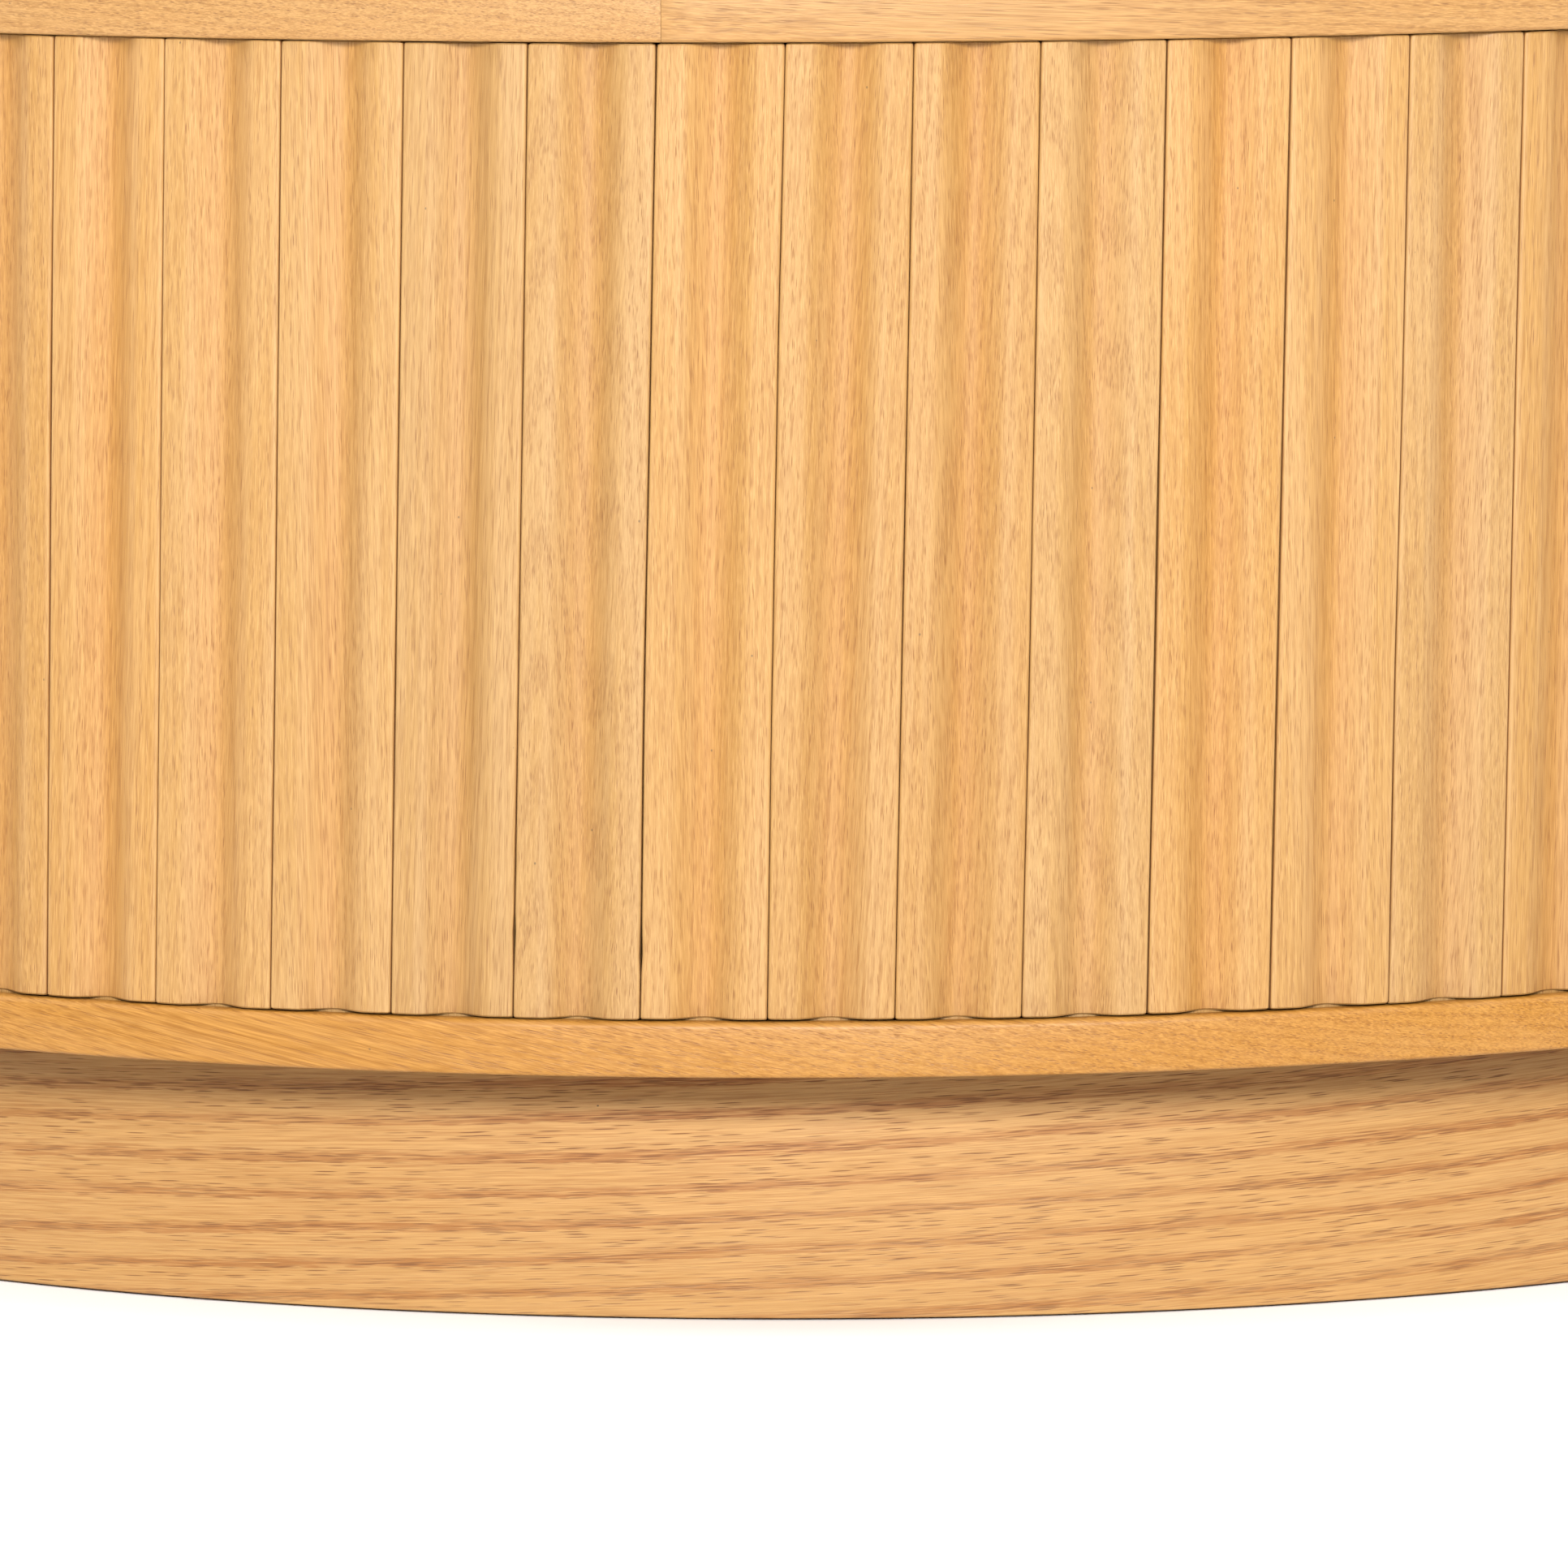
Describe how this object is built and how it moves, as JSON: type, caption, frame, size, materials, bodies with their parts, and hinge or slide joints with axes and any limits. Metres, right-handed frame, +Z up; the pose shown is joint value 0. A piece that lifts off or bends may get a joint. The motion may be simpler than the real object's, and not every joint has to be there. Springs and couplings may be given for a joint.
{
  "type": "tambour drum table",
  "caption": "Low round drum table in oak: a solid-edged top over a ring of fluted upright slats that slide open as a tambour door, on a recessed round plinth.",
  "frame": {"origin": "on the floor, at the drum's vertical axis", "axes": "+Z up; the middle of the closed tambour door faces -Y; +X to the right as seen from in front of the door"},
  "size_m": [0.91, 0.91, 0.387],
  "materials": {
    "slat_oak": "satin",
    "lipping_oak": "satin",
    "oak_veneer": "satin",
    "wall_oak": "satin",
    "carcass_board": "matte",
    "canvas": "matte",
    "glide_nylon": "matte"
  },
  "bodies": {
    "carcass": {"back_stop": "wall_oak", "base_lipping_1": "lipping_oak", "base_lipping_2": "lipping_oak", "base_lipping_3": "lipping_oak", "base_lipping_4": "lipping_oak", "base_lipping_5": "lipping_oak", "base_lipping_6": "lipping_oak", "base_panel": "carcass_board", "bay_back": "carcass_board", "bay_side_left": "carcass_board", "bay_side_right": "carcass_board", "doorway_post_left": "wall_oak", "doorway_post_right": "wall_oak", "glide_1": "glide_nylon", "glide_2": "glide_nylon", "glide_3": "glide_nylon", "glide_4": "glide_nylon", "plinth_length_1": "oak_veneer", "plinth_length_2": "oak_veneer", "plinth_length_3": "oak_veneer", "plinth_length_4": "oak_veneer", "plinth_rail_across": "carcass_board", "plinth_rail_deep": "carcass_board", "top_lipping_1": "lipping_oak", "top_lipping_2": "lipping_oak", "top_lipping_3": "lipping_oak", "top_lipping_4": "lipping_oak", "top_lipping_5": "lipping_oak", "top_lipping_6": "lipping_oak", "top_panel": "oak_veneer", "wall_panel_1": "wall_oak", "wall_panel_2": "wall_oak", "wall_panel_3": "wall_oak", "wall_panel_4": "wall_oak"},
    "tambour_door": {"door_slat_01": "slat_oak", "door_slat_02": "slat_oak", "door_slat_03": "slat_oak", "door_slat_04": "slat_oak", "door_slat_05": "slat_oak", "door_slat_06": "slat_oak", "door_slat_07": "slat_oak", "door_slat_08": "slat_oak", "door_slat_09": "slat_oak", "door_slat_10": "slat_oak", "door_slat_11": "slat_oak", "door_slat_12": "slat_oak", "door_slat_13": "slat_oak", "door_slat_14": "slat_oak", "door_slat_15": "slat_oak", "door_slat_16": "slat_oak", "door_slat_17": "slat_oak", "door_slat_18": "slat_oak", "door_slat_19": "slat_oak", "door_slat_20": "slat_oak", "door_slat_21": "slat_oak", "door_slat_22": "slat_oak", "lead_stile_left": "slat_oak", "lead_stile_right": "slat_oak", "tambour_canvas": "canvas"}
  },
  "joints": [
    {"name": "tambour_slide", "type": "hinge", "parent": "carcass", "child": "tambour_door", "pos_m": [0, 0, 0.226], "axis": [0, 0, 1], "range_deg": [-123, 123]}
  ]
}
